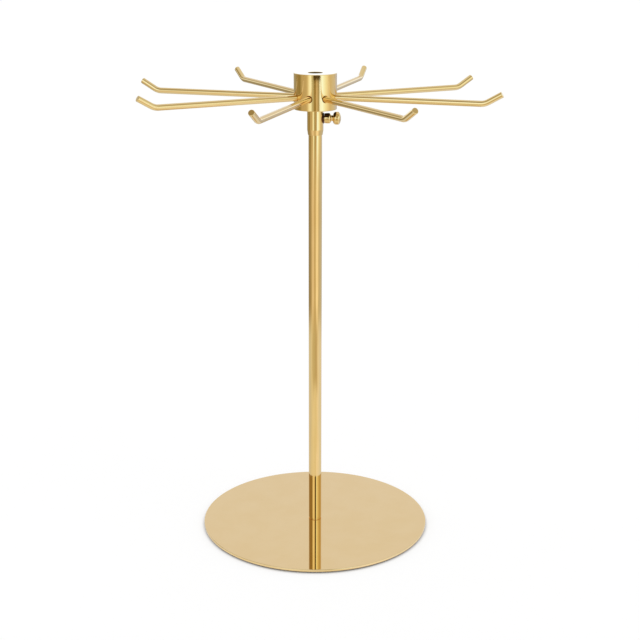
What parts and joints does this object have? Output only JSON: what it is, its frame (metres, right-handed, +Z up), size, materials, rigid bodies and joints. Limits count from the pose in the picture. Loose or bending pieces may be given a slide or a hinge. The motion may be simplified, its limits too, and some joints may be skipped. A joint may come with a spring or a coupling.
{
  "type": "rotating display rack",
  "caption": "Table-top display stand: a round base plate, a telescopic post with a thumb screw, and a turning hub with radial hooks that rise at their tips.",
  "frame": {"origin": "on the post's axis, on the surface the rack stands on", "axes": "+Z up along the post, +X towards the thumb screw, +Y away from a person who sees the thumb screw on the right"},
  "size_m": [0.3352, 0.3352, 0.4538],
  "materials": {
    "gold_mirror": "mirror-polished stainless steel with a pale gold plated finish",
    "rubber": "matt black foam rubber",
    "plain_steel": "zinc-plated steel, fine machining marks",
    "bearing_steel": "ground bearing steel",
    "black_oxide": "black-oxide steel, slightly oily",
    "nylon": "natural nylon"
  },
  "bodies": {
    "stand": {"base_plate": "gold_mirror", "foot_pad_1": "rubber", "foot_pad_2": "rubber", "foot_pad_3": "rubber", "foot_pad_4": "rubber", "base_screw": "plain_steel", "foot_plug": "plain_steel", "post_tube": "gold_mirror", "clamp_collar": "gold_mirror", "thread_insert": "black_oxide"},
    "clamp_shoe": {"clamp_pad": "nylon"},
    "knob": {"thumb_screw": "gold_mirror"},
    "mast": {"inner_tube": "gold_mirror", "guide_plug": "nylon", "spindle": "bearing_steel", "lower_inner_ring": "bearing_steel", "inner_spacer": "plain_steel", "upper_inner_ring": "bearing_steel", "hub_washer": "plain_steel", "hub_screw": "black_oxide"},
    "lower_cage": {"lower_ball_cage": "bearing_steel"},
    "upper_cage": {"upper_ball_cage": "bearing_steel"},
    "head": {"hub": "gold_mirror", "lower_outer_ring": "bearing_steel", "outer_spacer": "plain_steel", "upper_outer_ring": "bearing_steel", "retaining_ring": "black_oxide", "hook_1": "gold_mirror", "hook_2": "gold_mirror", "hook_3": "gold_mirror", "hook_4": "gold_mirror", "hook_5": "gold_mirror", "hook_6": "gold_mirror", "hook_7": "gold_mirror", "hook_8": "gold_mirror"}
  },
  "joints": [
    {"name": "height_slide", "type": "slide", "parent": "stand", "child": "mast", "axis": [0, 0, 1], "range_m": [0, 0.25]},
    {"name": "hub_spin", "type": "hinge", "parent": "mast", "child": "head", "pos_m": [0, 0, 0.4315], "axis": [0, 0, 1], "continuous": true},
    {"name": "lower_cage_spin", "type": "hinge", "parent": "mast", "child": "lower_cage", "pos_m": [0, 0, 0.4262], "axis": [0, 0, 1], "continuous": true},
    {"name": "upper_cage_spin", "type": "hinge", "parent": "mast", "child": "upper_cage", "pos_m": [0, 0, 0.4433], "axis": [0, 0, 1], "continuous": true},
    {"name": "clamp_travel", "type": "slide", "parent": "stand", "child": "clamp_shoe", "axis": [1, 0, 0], "range_m": [0, 0.0012]},
    {"name": "thumb_turn", "type": "hinge", "parent": "clamp_shoe", "child": "knob", "pos_m": [0, 0, 0.4118], "axis": [1, 0, 0], "range_deg": [0, 541]}
  ],
  "couplings": [
    {"joint": "lower_cage_spin", "follows": "hub_spin", "ratio": 0.5875},
    {"joint": "upper_cage_spin", "follows": "hub_spin", "ratio": 0.5875},
    {"joint": "thumb_turn", "follows": "clamp_travel", "rad_per_m": 7854}
  ]
}
